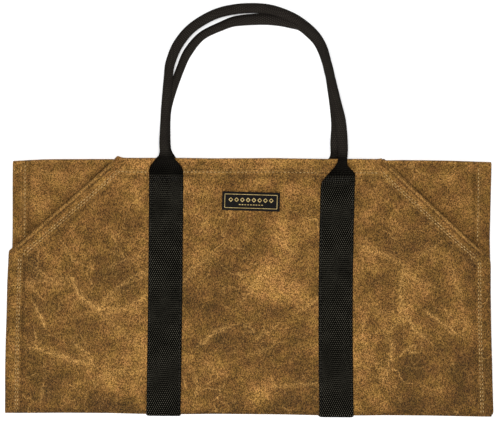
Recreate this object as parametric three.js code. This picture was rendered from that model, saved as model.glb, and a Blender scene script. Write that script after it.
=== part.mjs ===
import * as THREE from 'three';

// A canvas log carrier, laid flat and folded in four layers like a W. The front end with its
// handle lies on top, the middle of the panel is tucked between the two ends, and the back end
// lies on the surface. X runs across, Y from the bottom folds to the handles, Z up, millimetres.

// Panel
const panelHeight = 284;
const middleFoldHeight = 281.5;
const bottomWidth = 541;
const topWidth = 528.5;
const cornerCutWidth = 116;
const cornerCutHeight = 104.5;
const canvasThickness = 1.2;
const hemThickness = 2.6;
const hemWidth = 14;
const hemStep = 2.2;

// How the layers lie on each other
const layerGap = 0.5;
const springGap = 2.4;
const drapeReach = 42;
const hemDrapeReach = 55;
const clearance = 0.3;

// Webbing and its rolled handles
const strapSpacing = 191;
const strapWidth = 38;
const strapThickness = 2;
const handleDiameter = 10.5;
const frontHandleRise = 166;
const backHandleRise = 152.5;
const neckBelowEdge = 24;
const neckAboveEdge = 8;
const rollBeyondEdge = 12;
const rollAtEdge = 0.28;
const rightNeckShift = 4;

// Label
const labelWidth = 62.5;
const labelHeight = 20.3;
const labelThickness = 1;
const labelDrop = 47.7;
const labelTilt = -1.3;

// How finely the shapes are divided
const bottomFoldSteps = 4;
const middleFoldSteps = 6;
const handleSteps = 40;
const sectionSides = 10;

// Swells in the folded stack: places as shares of the half width and of the panel height,
// reaches as shares of the panel height, rises as shares of the spring gap
const swells = [
  { across: -0.72, along: 0.42, reach: 0.26, rise: 0.75 },
  { across: -0.80, along: 0.16, reach: 0.14, rise: 0.45 },
  { across: -0.05, along: 0.40, reach: 0.24, rise: 0.50 },
  { across: 0.08, along: 0.16, reach: 0.14, rise: 0.40 },
  { across: 0.70, along: 0.36, reach: 0.25, rise: 0.70 },
  { across: 0.74, along: 0.72, reach: 0.15, rise: 0.35 },
];

// Centre lines of the rolled handles: across as a share of the strap spacing from the left
// strap, rise as a share of the handle's rise, lift as a share of the handle's diameter
const frontHandlePath = [
  { across: 0.000, rise: 0.075, lift: 1.70 },
  { across: -0.004, rise: 0.180, lift: 1.56 },
  { across: 0.001, rise: 0.330, lift: 1.55 },
  { across: 0.015, rise: 0.510, lift: 1.53 },
  { across: 0.036, rise: 0.650, lift: 1.22 },
  { across: 0.083, rise: 0.767, lift: 0.98 },
  { across: 0.174, rise: 0.876, lift: 0.82 },
  { across: 0.281, rise: 0.949, lift: 0.76 },
  { across: 0.410, rise: 0.990, lift: 0.76 },
  { across: 0.540, rise: 1.000, lift: 0.92 },
  { across: 0.684, rise: 0.967, lift: 1.25 },
  { across: 0.776, rise: 0.917, lift: 1.42 },
  { across: 0.856, rise: 0.841, lift: 1.52 },
  { across: 0.910, rise: 0.745, lift: 1.56 },
  { across: 0.948, rise: 0.584, lift: 1.56 },
  { across: 0.989, rise: 0.398, lift: 1.56 },
  { across: 1.018, rise: 0.221, lift: 1.56 },
  { across: 1.026, rise: 0.100, lift: 1.66 },
];
const backHandlePath = [
  { across: -0.001, rise: 0.110, lift: 0.50 },
  { across: -0.003, rise: 0.298, lift: 0.50 },
  { across: 0.021, rise: 0.448, lift: 0.50 },
  { across: 0.079, rise: 0.638, lift: 0.50 },
  { across: 0.135, rise: 0.778, lift: 0.50 },
  { across: 0.208, rise: 0.888, lift: 0.50 },
  { across: 0.322, rise: 0.959, lift: 0.50 },
  { across: 0.451, rise: 0.992, lift: 0.50 },
  { across: 0.600, rise: 1.000, lift: 0.50 },
  { across: 0.721, rise: 0.982, lift: 0.50 },
  { across: 0.820, rise: 0.935, lift: 0.50 },
  { across: 0.903, rise: 0.824, lift: 0.50 },
  { across: 0.949, rise: 0.675, lift: 0.50 },
  { across: 0.977, rise: 0.480, lift: 0.50 },
  { across: 0.993, rise: 0.298, lift: 0.50 },
  { across: 0.994, rise: 0.110, lift: 0.50 },
];

// Values worked out from the sizes above
const strapCentre = strapSpacing / 2;
const strapBand = strapWidth / 2 + 1;
const cutStart = panelHeight - cornerCutHeight;
const cutTop = topWidth / 2 - cornerCutWidth;
const cutSlope = Math.hypot(cornerCutWidth, cornerCutHeight);
const hemLine = panelHeight - hemWidth;
const hemFoot = hemLine - hemStep;
const lerp = THREE.MathUtils.lerp;
const smooth = (share) => THREE.MathUtils.smoothstep(share, 0, 1);

// The four layers from the top down; `outside` is where the carrier's outer face looks
const layers = [
  { name: 'front end', outside: 1, isEnd: true },
  { name: 'front middle', outside: -1, isEnd: false },
  { name: 'back middle', outside: 1, isEnd: false },
  { name: 'back end', outside: -1, isEnd: true },
];
const backEnd = layers.length - 1;

// The three folds; `side` is the way along Y that the fold bulges
const folds = [
  { upper: 0, side: -1, outermost: 0, steps: bottomFoldSteps },
  { upper: 1, side: 1, outermost: middleFoldHeight, steps: middleFoldSteps },
  { upper: 2, side: -1, outermost: 0, steps: bottomFoldSteps },
];

// Outline of the panel
function sideEdge(y) {
  return lerp(bottomWidth, topWidth, y / panelHeight) / 2;
}

function layerEdge(layer, y) {
  if (!layers[layer].isEnd || y <= cutStart) {
    return sideEdge(y);
  }
  return lerp(sideEdge(cutStart), cutTop, (y - cutStart) / cornerCutHeight);
}

function distanceToSlantedEdge(layer, x, y) {
  const toSide = sideEdge(y) - Math.abs(x);
  if (!layers[layer].isEnd) {
    return toSide;
  }
  const toCut = (cornerCutHeight * (cutTop - Math.abs(x)) + cornerCutWidth * (panelHeight - y)) / cutSlope;
  return Math.min(toSide, toCut);
}

function hemShare(distance) {
  return THREE.MathUtils.clamp(1 - (distance - hemWidth) / hemStep, 0, 1);
}

function topHemShare(layer, y) {
  return layers[layer].isEnd ? hemShare(panelHeight - y) : 0;
}

function halfThickness(layer, x, y) {
  const share = Math.max(hemShare(distanceToSlantedEdge(layer, x, y)), topHemShare(layer, y));
  return lerp(canvasThickness, hemThickness, share) / 2;
}

// How far the webbing between the layers holds them apart at x, 1 on a strap
function strapShare(x) {
  const beyond = Math.abs(Math.abs(x) - strapCentre) - strapBand;
  return 1 - smooth(beyond / drapeReach);
}

// Height that a layer takes in the stack, with a long ramp beside the slanted and side hems
function spaceTaken(layer, x, y) {
  const beyond = distanceToSlantedEdge(layer, x, y) - hemWidth - hemStep;
  const ramp = (1 - smooth(beyond / hemDrapeReach)) * (1 - strapShare(x));
  const share = Math.max(ramp, topHemShare(layer, y));
  return Math.max(lerp(canvasThickness, hemThickness, share), 2 * halfThickness(layer, x, y));
}

function swell(x, y) {
  let rise = 0;
  for (const row of swells) {
    const across = (x - row.across * sideEdge(0)) / (row.reach * panelHeight);
    const along = (y - row.along * panelHeight) / (row.reach * panelHeight);
    const share = Math.max(0, 1 - across * across - along * along);
    rise += row.rise * springGap * share * share;
  }
  return rise * (1 - strapShare(x));
}

// Rolling of the webbing into a handle: thickness grows from the hem line, width narrows
function rollShare(y) {
  if (y <= panelHeight) {
    return rollAtEdge * THREE.MathUtils.clamp((y - hemLine) / hemWidth, 0, 1);
  }
  return lerp(rollAtEdge, 1, Math.min(1, (y - panelHeight) / rollBeyondEdge));
}

function webbingThickness(y) {
  return lerp(strapThickness, handleDiameter, rollShare(y));
}

function webbingWidth(y) {
  const share = (y - panelHeight + neckBelowEdge) / (neckBelowEdge + neckAboveEdge);
  return lerp(strapWidth, handleDiameter, smooth(share));
}

// Height of a layer's underside above the surface that the carrier lies on
function underside(layer, x, y) {
  if (layer === backEnd) {
    return strapShare(x) * (webbingThickness(y) + clearance);
  }
  const swollen = swell(x, y) / backEnd;
  const below = underside(layer + 1, x, y) + spaceTaken(layer + 1, x, y) + swollen;
  if (layer === 1) {
    return below + lerp(springGap, 2 * strapThickness + 3 * clearance, strapShare(x));
  }
  return below + lerp(layerGap, clearance, strapShare(x));
}

function middleHeight(layer, x, y) {
  return underside(layer, x, y) + halfThickness(layer, x, y);
}

// A point of the panel's middle surface, with the direction of the carrier's outer face
function layerPoint(layer, x, y) {
  return {
    y,
    z: middleHeight(layer, x, y),
    out: new THREE.Vector3(0, 0, layers[layer].outside),
    half: halfThickness(layer, x, y),
  };
}

function foldPoint(fold, x, turn) {
  const { upper, side, outermost } = folds[fold];
  const half = halfThickness(upper, x, outermost / 2);
  const spread = middleHeight(upper, x, outermost) - middleHeight(upper + 1, x, outermost);
  const radius = spread / 2;
  const centreY = outermost - side * (radius + half);
  const centreZ = middleHeight(upper + 1, x, centreY) + radius;
  const bulge = side * Math.sin(turn);
  const out = new THREE.Vector3(0, bulge, Math.cos(turn)).multiplyScalar(-side);
  return { y: centreY + radius * bulge, z: centreZ + radius * Math.cos(turn), out, half };
}

// Rows along the panel, the same for the canvas and for the webbing sewn to it
const lowerRows = [0.06, 0.18, 0.34, 0.50, 0.67, 0.84, 1].map((share) => share * cutStart);
const upperRows = [0.20, 0.41, 0.62, 0.83].map((share) => lerp(cutStart, hemFoot, share));
const bodyRows = [...lowerRows, ...upperRows, hemFoot, hemLine];

function layerRows(layer, rows) {
  return rows.map((y) => ({ edgeAt: y, layer, at: (x) => layerPoint(layer, x, y) }));
}

function foldRows(fold, startShare, endShare) {
  const { upper, outermost, steps } = folds[fold];
  return Array.from({ length: steps + 1 }, (_, step) => {
    const turn = Math.PI * lerp(startShare, endShare, step / steps);
    return { edgeAt: outermost, layer: upper, at: (x) => foldPoint(fold, x, turn) };
  });
}

// Closed solid through a list of rings; each ring runs along its outer face and back
function loft(rings) {
  const count = rings[0].length;
  const positions = rings.flat().flatMap((point) => [point.x, point.y, point.z]);
  const index = [];
  const quad = (a, b, c, d) => index.push(a, b, c, a, c, d);
  for (let ring = 0; ring + 1 < rings.length; ring += 1) {
    const here = ring * count;
    const next = here + count;
    for (let side = 0; side < count; side += 1) {
      const other = (side + 1) % count;
      quad(here + side, next + side, next + other, here + other);
    }
  }
  const last = (rings.length - 1) * count;
  for (let side = 0; side + 1 < count / 2; side += 1) {
    const across = count - 1 - side;
    quad(side, side + 1, across - 1, across);
    quad(last + across, last + across - 1, last + side + 1, last + side);
  }
  const geometry = new THREE.BufferGeometry();
  geometry.setAttribute('position', new THREE.Float32BufferAttribute(positions, 3));
  geometry.setIndex(index);
  geometry.computeVertexNormals();
  return geometry;
}

// Canvas panel: columns stay put round the webbing and close up towards the cut corners
function canvasColumns(layer, y) {
  const edge = layerEdge(layer, y);
  const isCut = layers[layer].isEnd && y > cutStart;
  const hemRun = isCut ? hemWidth * cutSlope / cornerCutHeight : hemWidth;
  const outerBand = strapCentre + strapBand;
  const innerBand = strapCentre - strapBand;
  const foot = edge - hemRun - hemStep;
  const right = [
    innerBand - drapeReach,
    innerBand - drapeReach / 2,
    innerBand,
    strapCentre,
    outerBand,
    ...[0.16, 0.36, 0.68, 1].map((share) => lerp(outerBand, foot, share)),
    edge - hemRun,
    edge,
  ];
  return [...right.map((x) => -x).reverse(), 0, ...right];
}

function canvasRing(row) {
  const columns = canvasColumns(row.layer, row.edgeAt);
  const face = (x, outward) => {
    const { y, z, out, half } = row.at(x);
    return new THREE.Vector3(x, y, z).addScaledVector(out, outward * half);
  };
  const outer = columns.map((x) => face(x, 1));
  const inner = columns.map((x) => face(x, -1)).reverse();
  return [...outer, ...inner];
}

function makeCanvasPanel() {
  const down = [...bodyRows].reverse();
  const rows = [
    ...layerRows(0, [panelHeight, ...down]),
    ...foldRows(0, 0, 1),
    ...layerRows(1, bodyRows),
    ...foldRows(1, 0, 1),
    ...layerRows(2, down),
    ...foldRows(2, 0, 1),
    ...layerRows(3, [...bodyRows, panelHeight]),
  ];
  return loft(rows.map(canvasRing));
}

// Webbing: a flat strap section that turns round as the webbing is rolled into a handle
function webbingRing({ centre, across, up, width, thickness, round }) {
  const perFace = sectionSides / 2;
  const points = [];
  for (let side = 0; side < sectionSides; side += 1) {
    const onTop = side < perFace;
    const step = onTop ? side : sectionSides - 1 - side;
    const angle = Math.PI * (1 - (step + 0.5) / perFace);
    const flatAcross = lerp(-1, 1, step / (perFace - 1));
    const sign = onTop ? 1 : -1;
    const shiftAcross = lerp(flatAcross, Math.cos(angle), round) * width / 2;
    const shiftUp = lerp(1, Math.sin(angle), round) * sign * thickness / 2;
    points.push(centre.clone().addScaledVector(across, shiftAcross).addScaledVector(up, shiftUp));
  }
  return points;
}

// One station of a strap, sewn to the outer face of the panel at a row
function strapStation(row, facing, neckShift) {
  const { y, z, out, half } = row.at(strapCentre);
  const onEnd = layers[row.layer].isEnd && row.edgeAt > 0;
  const width = onEnd ? webbingWidth(y) : strapWidth;
  const thickness = onEnd ? webbingThickness(y) : strapThickness;
  const narrowed = (strapWidth - width) / (strapWidth - handleDiameter);
  const centre = new THREE.Vector3(strapCentre + narrowed * neckShift, y, z);
  centre.addScaledVector(out, half + clearance + thickness / 2);
  const across = new THREE.Vector3(facing, 0, 0);
  return { centre, across, up: out, width, thickness, round: onEnd ? rollShare(y) : 0 };
}

function mirrored(station) {
  const flip = new THREE.Vector3(-1, 1, 1);
  return {
    ...station,
    centre: station.centre.clone().multiply(flip),
    across: station.across.clone().multiply(flip),
  };
}

// The right leg of one webbing, from the panel's edge to the middle fold
function strapLeg(endLayer, neckShift) {
  const isFront = endLayer === 0;
  const midHem = (hemLine + panelHeight) / 2;
  const down = [panelHeight, midHem, ...[...bodyRows].reverse()];
  const meeting = 0.5 - clearance / (Math.PI * strapThickness);
  const rows = [
    ...layerRows(endLayer, down),
    ...(isFront ? foldRows(0, 0, 1) : foldRows(2, 1, 0)),
    ...layerRows(isFront ? 1 : 2, bodyRows),
    ...(isFront ? foldRows(1, 0, meeting) : foldRows(1, 1, 1 - meeting)),
  ];
  return rows.map((row) => strapStation(row, layers[endLayer].outside, neckShift));
}

function handleStations(path, rise, facing, start, end) {
  const knots = path.map((row) => new THREE.Vector3(
    strapSpacing * row.across - strapCentre,
    panelHeight + rise * row.rise,
    handleDiameter * row.lift,
  ));
  const curve = new THREE.CatmullRomCurve3([start, ...knots, end], false, 'centripetal');
  const stations = [];
  for (let step = 1; step < handleSteps; step += 1) {
    const share = step / handleSteps;
    const centre = curve.getPointAt(share);
    const along = curve.getTangentAt(share);
    const across = new THREE.Vector3(0, 0, facing).cross(along).normalize();
    const up = along.clone().cross(across);
    const thickness = webbingThickness(centre.y);
    centre.z = Math.max(centre.z, thickness / 2);
    stations.push({
      centre, across, up, thickness, width: webbingWidth(centre.y), round: rollShare(centre.y),
    });
  }
  return stations;
}

function makeWebbing(endLayer, path, rise, neckShift) {
  const rightLeg = strapLeg(endLayer, neckShift);
  const leftLeg = strapLeg(endLayer, 0).map(mirrored).reverse();
  const facing = layers[endLayer].outside;
  const handle = handleStations(path, rise, facing, leftLeg.at(-1).centre, rightLeg[0].centre);
  return loft([...leftLeg, ...handle, ...rightLeg].map(webbingRing));
}

function makeLabel() {
  const geometry = new THREE.BoxGeometry(labelWidth, labelHeight, labelThickness);
  geometry.rotateZ(THREE.MathUtils.degToRad(labelTilt));
  return geometry;
}

// Materials
function clothMaterial(colour, roughness) {
  return new THREE.MeshStandardMaterial({ color: colour, roughness, metalness: 0 });
}

function namedMesh(name, geometry, material) {
  const mesh = new THREE.Mesh(geometry, material);
  mesh.name = name;
  return mesh;
}

// Assembly
const waxedCanvas = clothMaterial('#8f6a3a', 0.72);
const blackWebbing = clothMaterial('#1c1b1c', 0.85);
const wovenLabel = clothMaterial('#17161a', 0.8);

const group = new THREE.Group();
group.add(namedMesh('canvas_panel', makeCanvasPanel(), waxedCanvas));
group.add(namedMesh('webbing_front', makeWebbing(0, frontHandlePath, frontHandleRise, rightNeckShift),
  blackWebbing));
group.add(namedMesh('webbing_back', makeWebbing(backEnd, backHandlePath, backHandleRise, 0),
  blackWebbing.clone()));

const label = namedMesh('label', makeLabel(), wovenLabel);
const labelY = panelHeight - labelDrop;
const labelSeat = underside(0, 0, labelY) + canvasThickness + clearance;
label.position.set(0, labelY, labelSeat + labelThickness / 2);
group.add(label);

// The origin is under the middle of the carrier's box, on the surface that it lies on
const box = new THREE.Box3().setFromObject(group);
const middle = box.getCenter(new THREE.Vector3());
group.position.set(-middle.x, -middle.y, -box.min.z);

export default group;
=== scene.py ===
import math

import bpy
import numpy as np
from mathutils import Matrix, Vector


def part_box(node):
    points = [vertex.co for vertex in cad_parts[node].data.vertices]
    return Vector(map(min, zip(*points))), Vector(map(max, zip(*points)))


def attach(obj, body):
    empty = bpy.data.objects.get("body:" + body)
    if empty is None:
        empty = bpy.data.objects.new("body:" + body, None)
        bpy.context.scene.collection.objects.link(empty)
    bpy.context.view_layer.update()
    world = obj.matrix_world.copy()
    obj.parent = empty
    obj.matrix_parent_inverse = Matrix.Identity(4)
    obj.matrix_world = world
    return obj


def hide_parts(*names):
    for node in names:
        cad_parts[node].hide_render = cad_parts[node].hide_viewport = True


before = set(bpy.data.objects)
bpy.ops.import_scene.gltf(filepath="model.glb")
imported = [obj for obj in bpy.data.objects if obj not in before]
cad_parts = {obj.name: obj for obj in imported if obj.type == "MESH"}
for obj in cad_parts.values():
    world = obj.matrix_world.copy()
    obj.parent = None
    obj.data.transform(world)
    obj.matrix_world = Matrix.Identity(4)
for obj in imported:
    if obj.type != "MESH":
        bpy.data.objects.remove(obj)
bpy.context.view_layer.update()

# A waxed-canvas log carrier, laid flat and folded in four layers like a W. Panel places are
# (x, y): x across from the middle, y from the bottom folds towards the handles, in metres.
MM = 0.001
rng = np.random.default_rng(38)


def table(columns, rows):
    """Rows of values as dictionaries, keyed by the names of the columns."""
    return [dict(zip(columns.split(), row)) for row in rows]


# Sizes read from the frame
panel_low, panel_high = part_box("canvas_panel")
front_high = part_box("webbing_front")[1]
back_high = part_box("webbing_back")[1]
label_low, label_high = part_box("label")
label_middle = (label_low + label_high) / 2
BOTTOM_Y = panel_low.y
BOTTOM_FOLD = np.array([0, BOTTOM_Y, 0])
PANEL_HEIGHT = panel_high.y - panel_low.y
BOTTOM_WIDTH = panel_high.x - panel_low.x

# Sizes of the canvas
TOP_WIDTH = BOTTOM_WIDTH - 12.5 * MM
CUT_WIDTH = 116 * MM
CUT_HEIGHT = 104.5 * MM
MIDDLE_FOLD = PANEL_HEIGHT - 2.5 * MM
CANVAS = 1.2 * MM
HEM = 2.7 * MM
HEM_WIDTH = 16.5 * MM
HEM_STEP = 2.5 * MM
TOP_HEM_SHARE = 0.92
ROLLED_EDGE = 1.6 * MM
EDGE_BLUNTNESS = 0.08
LAYER_GAP = 0.4 * MM
SPRING_GAP = 2.4 * MM
DRAPE_REACH = 42 * MM
HEM_DRAPE = 55 * MM
WAVE = 0.75 * MM
WAVE_START = 30 * MM
CREASE_RELIEF = 0.55 * MM

# The slanted hems: a groove behind their lip, and how far they stand off the layer below
LIP = 4.6 * MM
LIP_GROOVE = 1.3 * MM
LIP_GROOVE_WIDTH = 1.2 * MM
CUT_CURL = 2.4 * MM
CUT_CURL_REACH = 12 * MM
CUT_END_FADE = 9 * MM
CUT_MARK_REACH = 12 * MM

# Stitches
STITCH_ROWS = (11.6 * MM, 14.2 * MM)
STITCH_RADIUS = 0.42 * MM
STITCH_SINK = 1.7 * STITCH_RADIUS
STITCH_SLANT = 0.12
FIRST_STITCH = 0.2
DIMPLE = 0.35 * MM
DIMPLE_WIDTH = 1.1 * MM
HEM_STITCH = {"length": 2.7 * MM, "pitch": 4.3 * MM}
STRAP_STITCH = {"length": 2.8 * MM, "pitch": 3.9 * MM}
STRAP_SEAM_INSET = 2.2 * MM
HEAD_SEAMS = (21.5 * MM, 24 * MM)

# Sizes of the webbing
STRAP_WIDTH = 38 * MM
STRAP = 2 * MM
HANDLE = 10.5 * MM
STRAP_X = front_high.x - STRAP_WIDTH / 2
STRAP_BAND = STRAP_WIDTH / 2 + 1 * MM
SEWN_REACH = 20 * MM
SEWN_STEP = 1.5 * MM
SEWN_FADE = 8 * MM
SEWN_PAD = 0.6 * MM
SEAT = 0.15 * MM
ROLL_LENGTH = 12 * MM
ROLL_AT_EDGE = 0.28
FRONT_RISE = front_high.y - HANDLE / 2 - BOTTOM_Y - PANEL_HEIGHT
BACK_RISE = back_high.y - HANDLE / 2 - BOTTOM_Y - PANEL_HEIGHT
HEAD_LENGTH = 34 * MM
SECTION_POINTS = 32
SECTION = {"crowding": 0.25, "rim": 0.93, "squareness": 14}
SEAM_ANGLE = math.radians(-140)
SEAM_SPREAD = 0.22
SEAM_DEPTH = 0.16
ROLLED_SHARE = 0.45

# The angle by which each webbing stops short of the other, round the middle fold
MEETING_GAP = 0.12

# Worked out from the sizes above
CUT_START = PANEL_HEIGHT - CUT_HEIGHT
CUT_TOP = TOP_WIDTH / 2 - CUT_WIDTH
CUT_SLOPE = math.hypot(CUT_WIDTH, CUT_HEIGHT)
OUTSIDE = (1, -1, 1, -1)
IS_END = (True, False, False, True)
BACK_END = 3

# The label, whose motif is a row of diamonds over a row of dashes; u runs along it and v up it
LABEL_SIZE = (64.2 * MM, 20.9 * MM)
LABEL_TILT = math.radians(-1.3)
LABEL_THICKNESS = label_high.z - label_low.z
LABEL_ROUND = 0.8 * MM
LABEL_RIM_HEIGHT = 0.35
LABEL_RIMS = ([0.5, 0.497, 0.49, 0.47], [0.5, 0.49, 0.47, 0.44])
LABEL_COUNTS = (40, 18)
BORDER_INSET = (3.1 * MM, 2.9 * MM)
BORDER = {"wide": 0.55 * MM, "high": 0.18 * MM, "step": 1.5 * MM}
DIAMOND = {"wide": 0.8 * MM, "high": 0.2 * MM, "step": 0.7 * MM}
DASH = {"wide": 0.9 * MM, "high": 0.2 * MM, "step": 0.6 * MM}
DIAMONDS = {"count": 8, "pitch": 6.4 * MM, "v": 1.5 * MM, "reach": 2.1 * MM}
DASHES = {"count": 9, "pitch": 3.1 * MM, "v": -3.8 * MM, "reach": 1.0 * MM}

# The photograph's frame, and the camera's
IMAGE_WIDTH = 500
IMAGE_HEIGHT = 425
PHOTO_SCALE = 1.108 * MM
PHOTO_BOTTOM_FOLD = (249.3, 414.7)
PHOTO_TILT = math.radians(0.45)
LENS = 100
SENSOR = 36
FRAMED_HEIGHT = 10 * MM

# The stage
FLOOR_REACH = 6.0
FLOOR_DROP = 0.2 * MM
WORLD_STRENGTH = 0.22
LIGHTS = table("name place size power", [
    ("overhead", (0.0, 0.05, 2.2), 0.5, 38),
    ("low_front", (-0.1, -2.0, 1.15), 0.5, 32),
])

# Distances from the edge of the columns and rows of the mesh in a hem, the edge last
EDGE_STEPS = np.array([
    19.6, 18.2, 17.0, 15.8, 14.5, 13.2, 11.9, 10.4, 7.6, 6.3, 5.4, 4.6, 3.8, 2.8, 1.5, 0.6, 0.15, 0,
]) * MM

# Columns, rows and points of the meshes: how many, where they start and how clear of a fold
COLUMN_COUNTS = {"middle": 26, "strap": 5, "side": 46}
ROW_COUNTS = {"front": 100, "lower": 12, "upper": 30, "back": 30}
LEG_COUNTS = {"head": 18, "leg": 56, "fold": 9, "hidden": 16, "meeting": 5}
FOLD_STEPS = (8, 10, 8)
ROW_START = 3 * MM
SECOND_SPLIT = (160 * MM, 165 * MM)
FOLD_CLEAR = {"sheet": 5 * MM, "strap": 6 * MM, "seam": 4 * MM}
HEAD_STEP = 4 * MM
SEAM_START = 4 * MM
STRAP_SEAM_START = 6 * MM
LONG_SEAM = 90
SHORT_SEAM = 60
HEAD_SEAM = 20
SPLINE_STEPS = 24
HANDLE_POINTS = 150

# How far the outlines wander: the bow of the front's sides, its right slanted hem, the sides of
# the middle fold, the round right corner, and a bump where a slanted hem meets the top edge
FRONT_BOW = {"shift": -1.5 * MM, "height": 235 * MM}
RIGHT_CUT = {"shift": -4 * MM, "below": 12 * MM, "run": 26 * MM}
FOLD_SIDES = {"left": 2.2 * MM, "right": (-1.1 * MM, 1.9 * MM), "from": 195 * MM, "run": 80 * MM}
FOLD_SIDES_START = 120 * MM
CORNER_ROUND = 2.2 * MM
CORNER_HEIGHT = 3 * MM
TOP_WANDER = 0.2 * PANEL_HEIGHT
TOP_RIPPLE = 0.15 * MM
RIPPLE_WAVES = 57
CUT_BUMPS = {"left": 1.5 * MM, "right": 0.8 * MM, "width": 4 * MM}
STRAP_DRIFTS = {
    -1: {"foot": 0.5 * MM, "lean": 1.5 * MM, "bow": 0.5 * MM},
    1: {"foot": 0.9 * MM, "lean": 0.9 * MM, "bow": -1.9 * MM},
}

# The noise of the canvas is taken this far off zero and, for its inner face, three times as far;
# that of the webbing's two faces on either side of zero
NOISE_PLANE = 0.27
WEAVE_PLANE = 0.25

# How many widths away a crease counts as far
FAR_ACROSS = 20

# Threads of the weaves
THREAD_WIDTH = 0.7 * MM
LABEL_THREAD = 0.5 * MM
RIB_PITCH = 2.2 * MM
PICK_PITCH = 4.4 * MM
HERRINGBONE = 19 * MM

# Painted light and shade along the edges of the front, pale above zero and dark below: painted shade
# on the rolled bottom fold and along the sides, a painted highlight along the top edge
EDGE_LIGHT_AND_SHADE = {"bottom": -0.9, "side": -0.65, "top": 0.9}
EDGE_TONE_REACH = 3.5 * MM
SIDE_TONE_FADE = 20 * MM
CLOUD_SWAY = 4 * MM

# Colours, as sRGB from 0 to 255
COLOURS = {
    "dark wax": (84, 59, 24),
    "wax": (112, 80, 36),
    "pale wax": (154, 113, 59),
    "broken wax": (186, 142, 80),
    "worn edge": (150, 112, 60),
    # Lip to groove: a painted highlight on the lip of the slanted hems, then painted shadow and
    # painted shade beyond the cut, at the foot of each hem and in the groove
    "lip": (156, 118, 64),
    "shadow": (44, 28, 8),
    "hem foot": (60, 40, 12),
    "groove": (56, 37, 12),
    "sewn band": (164, 126, 70),
    "stitch holes": (62, 42, 14),
    "webbing": (0, 0, 0),
    "webbing lit": (94, 90, 78),
    "webbing rolled": (45, 40, 37),
    "label": (6, 6, 7),
    "label lit": (30, 27, 26),
    "cream": (206, 172, 118),
    "cream dark": (152, 118, 68),
    "gold": (212, 188, 128),
    "gold dark": (166, 140, 86),
    "black": (44, 42, 38),
    "black dark": (18, 17, 15),
}
OLIVE_TINT = (0.90, 1.03, 0.72, 1)
RUST_TINT = (1.12, 0.96, 1.22, 1)
GRAIN_TONES = ((0.27, 0.24, 0.14, 1), (1.72, 1.70, 1.72, 1))
FLOOR_TONES = ((0.93, 0.93, 0.93, 1), (0.95, 0.95, 0.95, 1))
WORN_EDGE = 2.2 * MM

# Bands of colour along the hems: a painted highlight on the lip of each slanted hem, a painted shadow
# beyond its cut, painted shade at the foot of each hem and in the groove behind the lip, and a pale
# band and dark holes along the stitching; the distance they follow, where on it, how wide and how
# strong
HEM_BANDS = table("follows at width share colour", [
    # Painted highlight on the rolled lip of each slanted hem
    ("cut", 1.9 * MM, 1.3 * MM, 0.55, "lip"),
    ("cut", -0.9 * MM, 1.1 * MM, 0.65, "shadow"),
    # Painted shade at the foot of each hem, below its ridge
    ("edge", HEM_WIDTH + HEM_STEP * 0.7, 2.2 * MM, 0.4, "hem foot"),
    # Painted shade in the groove behind the lip of each slanted hem
    ("cut", LIP, 0.9 * MM, 0.65, "groove"),
    ("edge", sum(STITCH_ROWS) / 2, 2.6 * MM, 0.2, "sewn band"),
    ("edge", STITCH_ROWS[0], 0.6 * MM, 0.5, "stitch holes"),
    ("edge", STITCH_ROWS[1], 0.6 * MM, 0.5, "stitch holes"),
])

# Nets of fine cracks in the wax
CRACKS = table("scale width strength", [(15.0, 0.016, 0.6), (38.0, 0.030, 0.5), (80.0, 0.05, 0.3)])

# A stitch: rings along the thread, their height and radius as shares of its radius
STITCH_RINGS = table("along height radius", [
    (0.0, -0.9, 0.45),
    (0.16, 0.15, 0.9),
    (0.5, 0.5, 1.0),
    (0.84, 0.15, 0.9),
    (1.0, -0.9, 0.45),
])

# The section of a thread on the label, across it and up, as shares
RIBBON_SECTION = [(-1, 0.0), (-0.8, 0.8), (-0.3, 1.0), (0.3, 1.0), (0.8, 0.8), (1, 0.0)]
RIBBON_SINK = 0.6


def neck(inner, outer):
    """One strap's neck: its start, end and narrow half width in millimetres, on its two sides."""
    sides = table("start end narrow", [inner, outer])
    return [{key: value * MM for key, value in side.items()} for side in sides]


# How each strap narrows to its handle: where the narrowing starts and ends below the panel's
# edge, and the half width left above it, towards the other strap and away from it
NECKS = {
    "left": neck((-8.5, 15, 4.2), (-8.5, 15, 6.6)),
    "right": neck((0, 31, 0.9), (5, 18, 9.5)),
    "back left": neck((-14, 15, 5.6), (-8.5, 15, 5.2)),
    "back right": neck((-9.5, 15, 5.6), (-6, 15, 5.2)),
}

# Swells of the stack: shares of the half width and of the panel's height, as in the solids
SWELLS = table("across along reach rise", [
    (-0.72, 0.42, 0.26, 0.75),
    (-0.80, 0.16, 0.14, 0.45),
    (-0.05, 0.40, 0.24, 0.50),
    (0.08, 0.16, 0.14, 0.40),
    (0.70, 0.36, 0.25, 0.70),
    (0.74, 0.72, 0.15, 0.35),
])

# Handle centre lines: shares of the strap spacing, of the handle's rise and of its diameter
FRONT_HANDLE = table("across rise lift wide", [
    (-0.004, 0.075, 1.70, 1.00),
    (-0.003, 0.180, 1.56, 0.98),
    (0.003, 0.330, 1.55, 0.97),
    (0.015, 0.510, 1.53, 0.96),
    (0.032, 0.652, 1.22, 1.04),
    (0.077, 0.771, 0.98, 1.08),
    (0.164, 0.884, 0.82, 1.04),
    (0.272, 0.958, 0.76, 1.05),
    (0.404, 0.998, 0.76, 1.08),
    (0.534, 1.004, 0.92, 1.06),
    (0.678, 0.968, 1.25, 1.00),
    (0.770, 0.915, 1.42, 0.98),
    (0.850, 0.839, 1.52, 0.98),
    (0.906, 0.742, 1.56, 0.96),
    (0.944, 0.582, 1.56, 0.98),
    (0.984, 0.398, 1.56, 1.04),
    (1.017, 0.221, 1.56, 1.16),
    (1.026, 0.100, 1.66, 1.12),
])
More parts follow.
